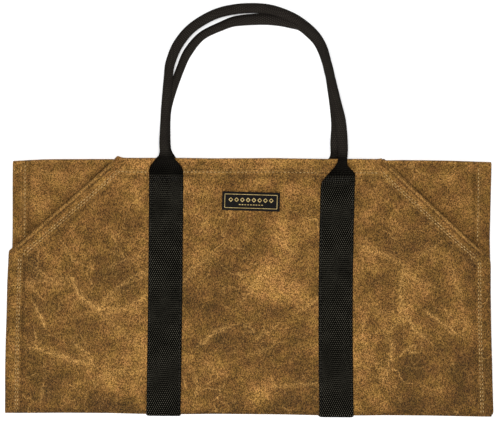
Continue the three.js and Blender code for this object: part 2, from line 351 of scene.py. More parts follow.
BACK_HANDLE = table("across rise lift wide", [
    (0.002, 0.110, 0.50, 1.00),
    (0.002, 0.298, 0.50, 0.98),
    (0.026, 0.448, 0.50, 0.92),
    (0.080, 0.642, 0.50, 0.87),
    (0.132, 0.784, 0.50, 0.96),
    (0.207, 0.893, 0.50, 0.90),
    (0.322, 0.966, 0.50, 0.96),
    (0.451, 1.010, 0.50, 1.16),
    (0.600, 1.018, 0.50, 1.24),
    (0.721, 0.994, 0.50, 1.16),
    (0.816, 0.940, 0.50, 1.04),
    (0.896, 0.826, 0.50, 1.00),
    (0.942, 0.675, 0.50, 1.00),
    (0.971, 0.480, 0.50, 1.02),
    (0.990, 0.298, 0.50, 1.06),
    (0.992, 0.110, 0.50, 1.20),
])

# How far the front's top edge and the middle fold rise from a straight line, in millimetres,
# at shares of the half width
EDGE_RISES = table("across front fold", [
    (-1.00, 0.0, -2.6),
    (-0.85, 0.0, -0.3),
    (-0.65, 0.0, 0.8),
    (-0.56, 0.4, 0.8),
    (-0.50, -0.9, 0.3),
    (-0.38, -0.9, 0.0),
    (-0.10, 0.1, 0.0),
    (0.10, 0.4, 0.0),
    (0.30, 0.0, 0.5),
    (0.50, 0.2, 1.5),
    (0.62, 0.2, 2.3),
    (0.80, 0.0, 1.8),
    (1.00, 0.0, 0.6),
])

# Wax creases on the front: the bends of each as pixels of the photograph, its width in
# millimetres and its strength
CREASES = table("bends width strength", [
    ([(72, 281), (84, 300), (101, 311)], 2.2, 0.85),
    ([(101, 311), (107, 297), (124, 283), (146, 272)], 1.7, 0.60),
    ([(103, 313), (124, 309), (138, 301)], 3.4, 0.45),
    ([(65, 246), (73, 260), (82, 264)], 1.2, 0.55),
    ([(31, 263), (49, 277), (69, 278)], 1.3, 0.45),
    ([(29, 283), (43, 279), (58, 283)], 2.6, 0.40),
    ([(36, 305), (41, 315), (46, 326)], 1.5, 0.85),
    ([(34, 348), (57, 353), (72, 361), (93, 363)], 2.0, 0.75),
    ([(76, 345), (88, 355), (95, 365)], 1.7, 0.60),
    ([(34, 348), (37, 339), (36, 331)], 1.2, 0.45),
    ([(103, 315), (120, 331), (138, 345)], 3.0, 0.25),
    ([(123, 254), (127, 260), (146, 255)], 1.3, 0.50),
    ([(112, 266), (124, 260)], 1.4, 0.40),
    ([(100, 378), (116, 374), (136, 371)], 3.6, 0.30),
    ([(42, 398), (43, 387)], 1.2, 0.45),
    ([(127, 339), (143, 346)], 1.6, 0.40),
    ([(184, 281), (191, 270), (206, 260)], 2.0, 0.55),
    ([(202, 343), (212, 334), (229, 327)], 1.8, 0.70),
    ([(196, 377), (197, 386), (196, 394)], 1.6, 0.55),
    ([(207, 365), (213, 371)], 1.8, 0.35),
    ([(245, 297), (252, 285), (262, 276)], 2.4, 0.55),
    ([(276, 236), (286, 246), (293, 253)], 1.8, 0.45),
    ([(303, 309), (311, 303), (319, 298)], 1.3, 0.60),
    ([(259, 337), (268, 331), (274, 327)], 1.5, 0.55),
    ([(276, 387), (297, 385), (317, 384)], 1.5, 0.50),
    ([(258, 352), (264, 350)], 1.6, 0.45),
    ([(403, 271), (401, 296), (403, 309)], 2.4, 0.70),
    ([(404, 271), (415, 278), (431, 285)], 2.0, 0.50),
    ([(408, 319), (415, 329), (425, 338)], 1.9, 0.90),
    ([(427, 312), (440, 321), (456, 333)], 1.5, 0.75),
    ([(401, 318), (394, 326), (389, 333)], 1.8, 0.50),
    ([(393, 344), (389, 365), (386, 379)], 1.6, 0.70),
    ([(375, 376), (384, 382)], 1.4, 0.40),
    ([(363, 247), (384, 254), (399, 262)], 2.6, 0.45),
    ([(422, 254), (435, 247)], 2.2, 0.35),
    ([(453, 271), (458, 288), (461, 300)], 2.6, 0.40),
    ([(378, 312), (392, 311)], 2.4, 0.30),
])

# Clouds on the front, pale above zero and dark below: most are clouds in the wax, the two long pale
# strips beside the straps are painted light and the two thin dark strips at the bottom fold are
# painted shade; the middle of each as a pixel of the photograph, and its reach in pixels across and
# down
CLOUDS = table("x y across down tone", [
    (271, 284, 17, 17, 1.00),
    (282, 244, 14, 28, 0.70),
    (297, 292, 16, 11, 0.55),
    (312, 262, 10, 14, 0.35),
    (104, 311, 15, 9, 0.50),
    (82, 290, 10, 12, 0.30),
    (130, 310, 14, 8, 0.35),
    (128, 335, 18, 9, 0.40),
    (114, 381, 11, 10, 0.40),
    (138, 362, 16, 16, 0.20),
    (122, 188, 22, 13, 0.75),
    (130, 166, 22, 8, 0.55),
    (24, 168, 14, 10, 0.40),
    (136, 398, 12, 10, 0.60),
    # Two long pale strips along the outer sides of the straps: painted light beside them
    (142, 290, 9, 120, 0.35),
    (357, 290, 9, 120, 0.35),
    (386, 194, 14, 12, 0.35),
    (262, 185, 46, 7, 0.45),
    (142, 192, 8, 28, 0.50),
    (188, 175, 8, 16, 0.45),
    (134, 321, 14, 7, 0.50),
    (437, 206, 14, 10, 0.50),
    (474, 170, 12, 9, 0.45),
    (383, 368, 10, 11, -0.45),
    # Two thin dark strips along the bottom fold at its corners: painted shade
    (34, 411, 20, 5, -0.60),
    (466, 413, 24, 5, -0.60),
    (64, 355, 26, 8, 0.35),
    (72, 258, 12, 14, 0.25),
    (72, 385, 8, 20, 0.25),
    (15, 330, 9, 70, 0.42),
    (44, 233, 14, 10, 0.25),
    (206, 192, 20, 13, 0.60),
    (190, 262, 10, 16, 0.25),
    (226, 329, 16, 6, 0.20),
    (213, 364, 13, 10, 0.35),
    (256, 394, 13, 14, 0.60),
    (194, 390, 14, 12, 0.30),
    (276, 334, 13, 11, 0.30),
    (251, 167, 75, 8, 0.45),
    (368, 264, 20, 14, 0.50),
    (412, 283, 14, 13, 0.55),
    (410, 306, 16, 14, 0.15),
    (424, 334, 13, 9, 0.30),
    (358, 350, 12, 20, 0.35),
    (378, 388, 12, 12, 0.25),
    (430, 386, 9, 10, 0.30),
    (370, 176, 20, 12, 0.60),
    (436, 190, 34, 24, 0.15),
    (62, 184, 36, 28, 0.55),
    (98, 274, 20, 14, -0.75),
    (120, 262, 14, 12, -0.35),
    (64, 243, 20, 10, -0.25),
    (38, 268, 12, 14, -0.75),
    (44, 300, 16, 12, -0.40),
    (60, 332, 26, 9, -0.45),
    (46, 388, 20, 22, -0.65),
    (100, 404, 28, 10, -1.00),
    (300, 402, 26, 12, -0.35),
    (236, 181, 20, 8, -0.20),
    (200, 305, 18, 26, -0.40),
    (232, 270, 14, 22, -0.30),
    (222, 345, 22, 9, -0.45),
    (272, 364, 22, 16, -0.45),
    (302, 334, 14, 18, -0.25),
    (238, 399, 8, 12, -0.20),
    (404, 242, 20, 12, -0.30),
    (372, 320, 14, 10, -0.25),
    (370, 374, 9, 12, -0.25),
    (470, 276, 7, 24, -0.55),
    (410, 368, 16, 26, -0.70),
    (418, 406, 26, 9, -0.70),
    (464, 386, 22, 28, -0.65),
    (440, 300, 9, 14, -0.25),
    (486, 345, 6, 70, -0.60),
])


def clamp01(value):
    return np.clip(value, 0.0, 1.0)


def smooth(value):
    share = clamp01(value)
    return share * share * (3 - 2 * share)


def lerp(start, end, share):
    return start + (end - start) * share


def hump(distance, width):
    """1 where the distance is 0, falling off over the width."""
    return np.exp(-((distance / width) ** 2))


def path_run(points):
    """How far along a path each of its points lies."""
    return np.concatenate([[0], np.cumsum(np.linalg.norm(np.diff(points, axis=0), axis=1))])


def on_path(run, values, at):
    """Values given along a path, read off at other distances along it."""
    return np.stack([np.interp(at, run, column) for column in values.T], -1)


def unit(vector):
    return vector / np.linalg.norm(vector)


def photo_to_panel(pixel):
    """A pixel of the photograph as a place on the panel, lying flat."""
    right = (pixel[0] - PHOTO_BOTTOM_FOLD[0]) * PHOTO_SCALE
    down = (pixel[1] - PHOTO_BOTTOM_FOLD[1]) * PHOTO_SCALE
    x = right * math.cos(PHOTO_TILT) + down * math.sin(PHOTO_TILT)
    y = right * math.sin(PHOTO_TILT) - down * math.cos(PHOTO_TILT)
    return x, y


# Outline and thickness of the canvas, for arrays of x and y
def side_edge(y):
    return lerp(BOTTOM_WIDTH, TOP_WIDTH, y / PANEL_HEIGHT) / 2


def layer_edge(layer, y):
    edge = side_edge(y)
    if IS_END[layer]:
        cut = lerp(side_edge(CUT_START), CUT_TOP, (y - CUT_START) / CUT_HEIGHT)
        edge = np.where(y > CUT_START, cut, edge)
    return edge


def cut_distance(x, y):
    """Distance from the line of the slanted cut."""
    return (CUT_HEIGHT * (CUT_TOP - np.abs(x)) + CUT_WIDTH * (PANEL_HEIGHT - y)) / CUT_SLOPE


def slant_distance(layer, x, y):
    to_side = side_edge(y) - np.abs(x)
    return np.minimum(to_side, cut_distance(x, y)) if IS_END[layer] else to_side


def edge_distance(layer, x, y):
    distance = slant_distance(layer, x, y)
    if IS_END[layer]:
        distance = np.minimum(distance, TOP_HEM_SHARE * (PANEL_HEIGHT - y))
    return distance


def hem_share(distance):
    return smooth(1 - (distance - HEM_WIDTH) / HEM_STEP)


def cut_hem(layer, x, y):
    """Distance from the slanted cut, and 1 where the hem belongs to it, away from its ends."""
    clear = np.minimum(PANEL_HEIGHT - y, side_edge(y) - np.abs(x))
    return cut_distance(x, y), smooth(clear / CUT_END_FADE) if IS_END[layer] else 0 * clear


def plain_half_thickness(layer, x, y):
    distance = edge_distance(layer, x, y)
    roll = clamp01(distance / ROLLED_EDGE)
    blunt = lerp(EDGE_BLUNTNESS, 1, 1 - (1 - roll) ** 2)
    return lerp(CANVAS, HEM, hem_share(distance)) / 2 * np.sqrt(blunt)


def dimples(layer, x, y):
    """How deep the stitch rows and the groove of the slanted hem press into each face."""
    distance = edge_distance(layer, x, y)
    sewn = DIMPLE * sum(hump(distance - row, DIMPLE_WIDTH) for row in STITCH_ROWS)
    to_cut, share = cut_hem(layer, x, y)
    return (sewn + LIP_GROOVE * share * hump(to_cut - LIP, LIP_GROOVE_WIDTH)) / 2


def half_thickness(layer, x, y):
    return plain_half_thickness(layer, x, y) - dimples(layer, x, y)


def strap_share(x):
    return 1 - smooth((np.abs(np.abs(x) - STRAP_X) - STRAP_BAND) / DRAPE_REACH)


def space_taken(layer, x, y):
    beyond = slant_distance(layer, x, y) - HEM_WIDTH - HEM_STEP
    ramp = (1 - smooth(beyond / HEM_DRAPE)) * (1 - strap_share(x))
    top = hem_share(PANEL_HEIGHT - y) if IS_END[layer] else 0.0
    share = np.maximum(np.maximum(ramp, top), hem_share(slant_distance(layer, x, y)))
    return lerp(CANVAS, HEM, share)


def swell(x, y):
    rise = np.zeros(np.broadcast(x, y).shape)
    for row in SWELLS:
        reach = row["reach"] * PANEL_HEIGHT
        across = (x - row["across"] * BOTTOM_WIDTH / 2) / reach
        along = (y - row["along"] * PANEL_HEIGHT) / reach
        share = np.maximum(0, 1 - across**2 - along**2)
        rise = rise + row["rise"] * SPRING_GAP * share**2
    return rise * (1 - strap_share(x))


def waves(x, y):
    """Slack of the cloth between the straps: crossing low waves, away from straps and hems.

    The numbers beside x and y are radians per metre."""
    ripple = np.sin(x * 61 + 3.1 * np.sin(y * 23)) * np.sin(y * 47 + 2.2 * np.sin(x * 19 + 1))
    ripple = ripple + 0.6 * np.sin(x * 113 - y * 71 + 2 * np.sin(x * 31))
    return WAVE * (0.9 + ripple) * (1 - strap_share(x)) * smooth(y / WAVE_START)


def roll_share(y):
    below = ROLL_AT_EDGE * clamp01((y - PANEL_HEIGHT + HEM_WIDTH) / HEM_WIDTH)
    above = lerp(ROLL_AT_EDGE, 1, clamp01((y - PANEL_HEIGHT) / ROLL_LENGTH))
    return np.where(y <= PANEL_HEIGHT, below, above)


def webbing_thickness(y):
    return lerp(STRAP, HANDLE, roll_share(y))


def underside(layer, x, y):
    if layer == BACK_END:
        return strap_share(x) * (webbing_thickness(y) + SEAT) + 0 * y
    gap = lerp(LAYER_GAP, SEAT, strap_share(x))
    if layer == 1:
        gap = lerp(SPRING_GAP, 2 * STRAP + 3 * SEAT, strap_share(x))
    lift = (swell(x, y) + waves(x, y)) / BACK_END
    return underside(layer + 1, x, y) + space_taken(layer + 1, x, y) + gap + lift


def crease_place(x, y):
    """The nearest charted crease: its strength, and how far across it the place is, in widths."""
    nearest = np.full(np.broadcast(x, y).shape, np.inf)
    strength = np.zeros(nearest.shape)
    across = nearest.copy()
    for crease in CREASES:
        bends = [photo_to_panel(bend) for bend in crease["bends"]]
        for (ax, ay), (bx, by) in zip(bends, bends[1:]):
            run = math.hypot(bx - ax, by - ay)
            share = clamp01(((x - ax) * (bx - ax) + (y - ay) * (by - ay)) / run**2)
            gap = np.hypot(x - ax - share * (bx - ax), y - ay - share * (by - ay))
            side = np.sign((bx - ax) * (y - ay) - (by - ay) * (x - ax))
            widths = gap / (crease["width"] * MM)
            closer = widths < nearest
            nearest = np.where(closer, widths, nearest)
            strength = np.where(closer, crease["strength"], strength)
            across = np.where(closer, side * widths, across)
    return strength, np.clip(across, -FAR_ACROSS, FAR_ACROSS)


def crease_relief(x, y):
    strength, across = crease_place(x, y)
    return CREASE_RELIEF * strength * hump(across, 1) * (1 - strap_share(x))


def clouds_and_painted_light(x, y):
    """Sum of the charted clouds, their edges wandering a little, and painted light and shade along
    each edge: painted shade along the bottom fold and the sides, a painted highlight along the top
    edge.
    """
    below_cut = smooth((CUT_START - y) / SIDE_TONE_FADE)
    at_side = below_cut * hump(side_edge(y) - np.abs(x), EDGE_TONE_REACH)
    tone_here = EDGE_LIGHT_AND_SHADE["bottom"] * hump(y, EDGE_TONE_REACH) + EDGE_LIGHT_AND_SHADE["side"] * at_side
    tone_here = tone_here + EDGE_LIGHT_AND_SHADE["top"] * hump(PANEL_HEIGHT - y, EDGE_TONE_REACH)
    sway_x = x + CLOUD_SWAY * np.sin(y * 90 + 2 * np.sin(x * 60))
    sway_y = y + CLOUD_SWAY * np.sin(x * 80 + 2 * np.sin(y * 70))
    for cloud in CLOUDS:
        at_x, at_y = photo_to_panel((cloud["x"], cloud["y"]))
        across = (sway_x - at_x) / (cloud["across"] * PHOTO_SCALE)
        along = (sway_y - at_y) / (cloud["down"] * PHOTO_SCALE)
        tone_here = tone_here + cloud["tone"] * np.exp(-(across**2) - along**2)
    return tone_here


def cut_marks(kind, layer, x, y):
    """Distance from the slanted cut for each face of a row, and a metre where it has no part.

    It is below zero on the face of the second layer that shows beyond the front's cut."""
    nowhere = 1 + 0 * x
    if kind == "fold":
        return nowhere, nowhere
    if IS_END[layer]:
        to_cut, share = cut_hem(layer, x, y)
        return lerp(nowhere, to_cut, share), nowhere
    to_cut = cut_distance(x - side_shift(0, x, y), y)
    return nowhere, np.where(to_cut < CUT_MARK_REACH, to_cut, nowhere)


def cut_curl(x, y):
    """The front's slanted hems stand a little off the layer below."""
    to_cut, share = cut_hem(0, x, y)
    return CUT_CURL * share * hump(to_cut, CUT_CURL_REACH)


def middle_height(layer, x, y):
    height = underside(layer, x, y) + plain_half_thickness(layer, x, y)
    if layer == 0:
        height = height + crease_relief(x, y) + cut_curl(x, y)
    return height


def edge_rise(layer, x, y):
    """How far the top edge of a layer wanders along Y from a straight line."""
    column = "front" if layer == 0 else "fold"
    shares = [row["across"] * BOTTOM_WIDTH / 2 for row in EDGE_RISES]
    rises = [row[column] * MM for row in EDGE_RISES]
    rise = np.interp(x, shares, rises) if layer < BACK_END else 0 * x
    rise = rise + TOP_RIPPLE * np.sin(x * RIPPLE_WAVES + 2 * layer)
    if IS_END[layer]:
        bump = np.where(x < 0, CUT_BUMPS["left"], CUT_BUMPS["right"])
        rise = rise + bump * hump(np.abs(x) - CUT_TOP, CUT_BUMPS["width"])
    return smooth((y - PANEL_HEIGHT + TOP_WANDER) / TOP_WANDER) * rise


def side_shift(layer, x, y):
    """How far the sides of a layer wander along X, fading out towards the straps."""
    inner = STRAP_X + STRAP_BAND
    near_side = clamp01((np.abs(x) - inner) / (layer_edge(layer, y) - inner))
    shift = 0 * y
    if layer == 0:
        shift = FRONT_BOW["shift"] * np.sin(math.pi * clamp01(y / FRONT_BOW["height"]))
        on_cut = smooth((y - CUT_START + RIGHT_CUT["below"]) / RIGHT_CUT["run"]) * (x > 0)
        shift = shift + RIGHT_CUT["shift"] * on_cut
    elif layer < BACK_END:
        up = clamp01((y - FOLD_SIDES["from"]) / FOLD_SIDES["run"])
        right = lerp(*FOLD_SIDES["right"], up)
        shift = np.where(x < 0, FOLD_SIDES["left"] * (1 - up), right) * smooth(y / FOLD_SIDES_START)
    round_off = np.where(x > 0, CORNER_ROUND, 0) * hump(y, CORNER_HEIGHT)
    return (shift - round_off) * near_side**2


# The folded sheet as rows; each row gives y, z, the outer face's direction and half thickness
def layer_row(layer, x, y):
    at = np.full_like(x, y)
    z = middle_height(layer, x, at)
    out_y = np.zeros_like(x)
    out_z = np.full_like(x, OUTSIDE[layer])
    half = half_thickness(layer, x, at)
    return x + side_shift(layer, x, at), at + edge_rise(layer, x, at), z, out_y, out_z, half


def fold_row(fold, x, turn):
    side = 1 if fold == 1 else -1
    outermost = MIDDLE_FOLD if fold == 1 else 0.0
    at = np.full_like(x, outermost)
    half = half_thickness(fold, x, at / 2)
    radius = (middle_height(fold, x, at) - middle_height(fold + 1, x, at)) / 2
    centre_y = outermost - side * (radius + half)
    centre_z = middle_height(fold + 1, x, centre_y) + radius
    bulge = side * math.sin(turn)
    y = centre_y + radius * bulge + edge_rise(1, x, at)
    z = centre_z + radius * math.cos(turn)
    out_y = np.full_like(x, -side * bulge)
    out_z = np.full_like(x, -side * math.cos(turn))
    return x + side_shift(1, x, at), y, z, out_y, out_z, half


def sheet_row(kind, index, x, value):
    return layer_row(index, x, value) if kind == "layer" else fold_row(index, x, value)


def sheet_columns(layer, y):
    """Columns of a row: even between the straps, sparse under them, dense at the side hems."""
    edge = float(layer_edge(layer, y))
    is_cut = IS_END[layer] and y > CUT_START
    steps = EDGE_STEPS * (CUT_SLOPE / CUT_HEIGHT if is_cut else 1.0)
    inner = STRAP_X - STRAP_BAND
    outer = STRAP_X + STRAP_BAND
    right = np.concatenate([
        np.linspace(0, inner, COLUMN_COUNTS["middle"])[1:],
        np.linspace(inner, outer, COLUMN_COUNTS["strap"])[1:],
        np.linspace(outer, edge - steps[0], COLUMN_COUNTS["side"])[1:-1],
        edge - steps,
    ])
    return np.concatenate([-right[::-1], [0.0], right])


def layer_rows(layer, places):
    return [("layer", layer, y) for y in places]


def fold_rows(fold, steps):
    return [("fold", fold, math.pi * step / steps) for step in range(steps + 1)]


def sheet_rows():
    """The rows of the whole sheet, from the front end's edge to the back end's edge."""
    top_hem = PANEL_HEIGHT - EDGE_STEPS
    even = np.linspace(ROW_START, top_hem[0], ROW_COUNTS["front"])
    front = np.concatenate([even[:-1], top_hem])[::-1]
    lower = np.linspace(ROW_START, SECOND_SPLIT[0], ROW_COUNTS["lower"])
    upper = np.linspace(SECOND_SPLIT[1], MIDDLE_FOLD - FOLD_CLEAR["sheet"], ROW_COUNTS["upper"])
    second = np.concatenate([lower, upper])
    even = np.linspace(ROW_START, top_hem[0], ROW_COUNTS["back"])
    back = np.concatenate([even[:-1], top_hem[::2], top_hem[-1:]])
    rows = layer_rows(0, front) + fold_rows(0, FOLD_STEPS[0])
    rows += layer_rows(1, second) + fold_rows(1, FOLD_STEPS[1])
    rows += layer_rows(2, second[::3][::-1]) + fold_rows(2, FOLD_STEPS[2])
    return rows + layer_rows(BACK_END, back)


# Meshes
def new_object(name, data, place=(0, 0, 0), turn=(0, 0, 0)):
    obj = bpy.data.objects.new(name, data)
    obj.location = place
    obj.rotation_euler = turn
    bpy.context.scene.collection.objects.link(obj)
    return obj


def mesh_object(name, places, faces):
    mesh = bpy.data.meshes.new(name)
    mesh.from_pydata(places.tolist(), [], faces)
    mesh.polygons.foreach_set("use_smooth", [True] * len(faces))
    mesh.update()
    return new_object(name, mesh)


def ring_quads(rows, count):
    """Faces between rings of points that follow each other."""
    ring = np.arange(count)
    after = (ring + 1) % count
    here = (np.arange(rows - 1) * count)[:, None]
    quads = [here + ring, here + count + ring, here + count + after, here + after]
    return np.stack(quads, -1).reshape(-1, 4)


def loft_object(name, rings, attributes=None):
    """A closed object through rings (rows, points, 3); each ring runs along one face and back."""
    rows, count, _ = rings.shape
    side = np.arange(count // 2 - 1)
    start = np.stack([side, side + 1, count - 2 - side, count - 1 - side], -1)
    end = (rows - 1) * count + start[:, ::-1]
    faces = np.concatenate([ring_quads(rows, count), start, end])
    obj = mesh_object(name, rings.reshape(-1, 3) + BOTTOM_FOLD, faces.tolist())
    for key, values in (attributes or {}).items():
        is_vector = values.ndim == 3
        layer = obj.data.attributes.new(key, "FLOAT_VECTOR" if is_vector else "FLOAT", "POINT")
        layer.data.foreach_set("vector" if is_vector else "value", values.reshape(-1))
    return obj


def make_canvas():
    """The folded sheet, with each place's spot on the flat cloth, its hem and its creases."""
    outer, inner, flat = [], [], []
    attributes = {key: [] for key in ("edge", "cut", "cloud", "crease", "crease_across")}
    travelled = 0.0
    before = None
    for kind, index, value in sheet_rows():
        is_layer = kind == "layer"
        edge_y = value if is_layer else (MIDDLE_FOLD if index == 1 else 0.0)
        columns = sheet_columns(index, edge_y)
        at = np.full_like(columns, edge_y)
        none = 0 * columns
        x, y, z, out_y, out_z, half = sheet_row(kind, index, columns, value)
        outer.append(np.stack([x, y + out_y * half, z + out_z * half], -1))
        inner.append(np.stack([x, y - out_y * half, z - out_z * half], -1)[::-1])
        if before is not None:
            travelled += float(np.median(np.hypot(y - before[0], z - before[1])))
        before = (y, z)
        flat.append(np.stack([columns, none + travelled, none + NOISE_PLANE], -1))
        far = none + FAR_ACROSS
        creased = is_layer and index == 0
        strength, across = crease_place(columns, at) if creased else (none, far)
        edge = edge_distance(index, columns, at) if is_layer else side_edge(at) - np.abs(columns)
        cloud = clouds_and_painted_light(columns, at) if index in (0, 1) else none
        faces = {
            "edge": (edge, edge),
            "cut": cut_marks(kind, index, columns, at),
            "cloud": (cloud, cloud),
            "crease": (strength, none),
            "crease_across": (across, far),
        }
        for key, (outside, inside) in faces.items():
            attributes[key].append(np.concatenate([outside, inside[::-1]]))
    rings = np.concatenate([np.array(outer), np.array(inner)], axis=1)
    flat = np.array(flat)
    back = flat[:, ::-1] + np.array([0, 0, 2 * NOISE_PLANE])
    attributes = {key: np.array(rows) for key, rows in attributes.items()}
    attributes["place"] = np.concatenate([flat, back], axis=1)
    return loft_object("canvas", rings, attributes), travelled


# Webbing
def between(t, start, end, first, second):
    return ((end - t) * first + (t - start) * second) / (end - start)


def spline(points, count):
    """Evenly spaced points on a centripetal Catmull-Rom curve through the given points."""
    points = np.array(points)
    ghosts = np.vstack([2 * points[0] - points[1], points, 2 * points[-1] - points[-2]])
    dense = []
    for k in range(1, len(ghosts) - 2):
        near = ghosts[k - 1 : k + 3]
        gaps = [max(np.linalg.norm(b - a) ** 0.5, 1e-6) for a, b in zip(near, near[1:])]
        times = [0, gaps[0], gaps[0] + gaps[1], sum(gaps)]
        for t in np.linspace(times[1], times[2], SPLINE_STEPS, endpoint=False):
            a = [between(t, times[j], times[j + 1], near[j], near[j + 1]) for j in range(3)]
            b = [between(t, times[j], times[j + 2], a[j], a[j + 1]) for j in range(2)]
            dense.append(between(t, times[1], times[2], *b))
    dense = np.array(dense + [points[-1]])
    run = path_run(dense[:, :3])
    return on_path(run, dense, np.linspace(0, run[-1], count))


def sewn_share(y):
    """1 in the doubled zone at the head of a strap, 0 on the plain strap and the handle."""
    below = smooth((y - PANEL_HEIGHT + SEWN_REACH) / SEWN_STEP)
    above = smooth((PANEL_HEIGHT + SEWN_FADE - y) / SEWN_FADE)
    return float(below * above)


def neck_reach(side, y):
    """Half width of the strap on one side of its middle line, at y."""
    share = smooth((PANEL_HEIGHT - y - side["start"]) / (side["end"] - side["start"]))
    return float(lerp(side["narrow"], STRAP_WIDTH / 2, share))


def strap_drift(hand, kind, index, value):
    """How far the left (-1) or right (1) strap wanders along X from its straight line."""
    drift = STRAP_DRIFTS[hand]
    share = value / PANEL_HEIGHT
    if (kind, index) == ("layer", 0):
        return lerp(drift["foot"], drift["lean"], share) + drift["bow"] * np.sin(math.pi * share)
    if (kind, index) == ("fold", 0):
        return drift["foot"]
    if (kind, index) == ("layer", 1):
        return drift["foot"] * (1 - share)
    return 0.0


def strap_rows(end_layer):
    """Rows of one leg, from the panel's edge down, round the folds to the middle fold."""
    is_front = end_layer == 0
    head_end = PANEL_HEIGHT - HEAD_LENGTH
    head = np.linspace(PANEL_HEIGHT, head_end, LEG_COUNTS["head"])
    leg = np.linspace(head_end - HEAD_STEP, ROW_START, LEG_COUNTS["leg"])
    turns = np.linspace(0, math.pi, LEG_COUNTS["fold"])
    meeting = np.linspace(0, math.pi / 2 - MEETING_GAP, LEG_COUNTS["meeting"])
    hidden = np.linspace(ROW_START, MIDDLE_FOLD - FOLD_CLEAR["strap"], LEG_COUNTS["hidden"])
    if not is_front:
        turns = turns[::-1]
        meeting = math.pi - meeting
    rows = layer_rows(end_layer, np.concatenate([head, leg]))
    rows += [("fold", 0 if is_front else 2, turn) for turn in turns]
    rows += layer_rows(1 if is_front else 2, hidden)
    return rows + [("fold", 1, turn) for turn in meeting]


def strap_stations(end_layer, sides, hand):
    """Stations of one leg: middle, directions, width, thickness, how rolled and how sewn."""
    x = np.array([STRAP_X])
    stations = []
    for kind, index, value in strap_rows(end_layer):
        _, y, z, out_y, out_z, half = sheet_row(kind, index, x, value)
        inner, outer, thickness, rolled, sewn = STRAP_WIDTH / 2, STRAP_WIDTH / 2, STRAP, 0.0, 0.0
        if kind == "layer" and IS_END[index]:
            inner, outer = (neck_reach(side, value) for side in sides)
            thickness = float(webbing_thickness(value))
            rolled = float(roll_share(value))
            sewn = sewn_share(value)
        if end_layer == 0:
            thickness += SEWN_PAD * sewn
        reach = half[0] + SEAT + thickness / 2
        middle = STRAP_X + (outer - inner) / 2 + hand * strap_drift(hand, kind, index, value)
        stations.append({
            "centre": np.array([middle, y[0] + out_y[0] * reach, z[0] + out_z[0] * reach]),
            "across": np.array([OUTSIDE[end_layer], 0.0, 0.0]),
            "up": np.array([0.0, out_y[0], out_z[0]]),
            "width": inner + outer,
            "thickness": thickness,
            "round": rolled,
            "sewn": sewn,
        })
    return stations


def mirror(station):
    flip = np.array([-1.0, 1.0, 1.0])
    return {**station, "centre": station["centre"] * flip, "across": station["across"] * flip}


def handle_stations(rows, rise, facing, left, right, necks):
    """Stations of a handle, from the left strap's head to the right one's."""
    knots = [np.append(left["centre"], 1.0)]
    for row in rows:
        x = (2 * row["across"] - 1) * STRAP_X
        knots.append([x, PANEL_HEIGHT + rise * row["rise"], HANDLE * row["lift"], row["wide"]])
    knots.append(np.append(right["centre"], 1.0))
    line = spline(knots, HANDLE_POINTS)
    tangents = np.gradient(line[:, :3], axis=0)
    stations = []
    for k in range(1, len(line) - 1):
        along = unit(tangents[k])
        across = unit(np.cross([0, 0, facing], along))
        centre = line[k, :3].copy()
        y = centre[1]
        thickness = float(webbing_thickness(y))
        centre[2] = max(centre[2], thickness / 2)
        sides = necks[0] if centre[0] < 0 else necks[1]
        flare = sum(neck_reach(side, y) - side["narrow"] for side in sides)
        stations.append({
            "centre": centre,
            "across": across,
            "up": np.cross(along, across),
            "width": HANDLE * line[k, 3] + flare,
            "thickness": thickness,
            "round": float(roll_share(y)),
            "sewn": sewn_share(y),
        })
    return stations


def make_webbing(name, end_layer, rows, rise, necks):
    """Webbing of one end: its left leg, its handle and its right leg in one loft."""
    right = strap_stations(end_layer, necks[1], 1)
    left = [mirror(station) for station in strap_stations(end_layer, necks[0], -1)][::-1]
    handle = handle_stations(rows, rise, OUTSIDE[end_layer], left[-1], right[0], necks)
    stations = left + handle + right
    at = {key: np.array([station[key] for station in stations])[:, None] for key in stations[0]}
    per_face = SECTION_POINTS // 2
    step = np.concatenate([np.arange(per_face), np.arange(per_face)[::-1]])
    sign = np.repeat([1.0, -1.0], per_face)
    angle = math.pi * (1 - (step + 0.5) / per_face) * sign
    even = lerp(-1, 1, step / (per_face - 1))
    flat_across = lerp(even, np.sin(math.pi / 2 * even), SECTION["crowding"])
    flat_up = sign * np.sqrt(1 - SECTION["rim"] * np.abs(flat_across) ** SECTION["squareness"])
    turned = at["round"]
    seam = 1 - SEAM_DEPTH * turned * hump(angle - SEAM_ANGLE, SEAM_SPREAD)
    shift_across = lerp(flat_across, np.cos(angle), turned) * seam * at["width"] / 2
    shift_up = lerp(flat_up, np.sin(angle), turned) * seam * at["thickness"] / 2
    rings = at["centre"] + at["across"] * shift_across[..., None] + at["up"] * shift_up[..., None]
    every = np.zeros(rings.shape[:2])
    run = path_run(at["centre"][:, 0])[:, None]
    around = flat_across * STRAP_WIDTH / 2 * lerp(1, ROLLED_SHARE, turned)
    place = np.stack([around, every + run, every + sign * WEAVE_PLANE], -1)
    attributes = {"place": place, "rolled": every + turned, "sewn": every + at["sewn"]}
    return loft_object(name, rings, attributes)


# Stitches
def stitch_template(sides=6):
    """A short thread: its points, with Y from 0 to 1 along it, and its faces."""
    angles = np.arange(sides) * 2 * math.pi / sides
    rings = []
    for row in STITCH_RINGS:
        across = row["radius"] * np.cos(angles)
        up = row["height"] + row["radius"] * np.sin(angles)
        rings.append(np.stack([across, np.full(sides, row["along"]), up], -1))
    quads = np.roll(ring_quads(len(rings), sides)[:, ::-1], 1, axis=1)
    cap = np.arange(sides)
    ends = [cap[::-1].tolist(), (cap + (len(rings) - 1) * sides).tolist()]
    return np.concatenate(rings), quads.tolist() + ends


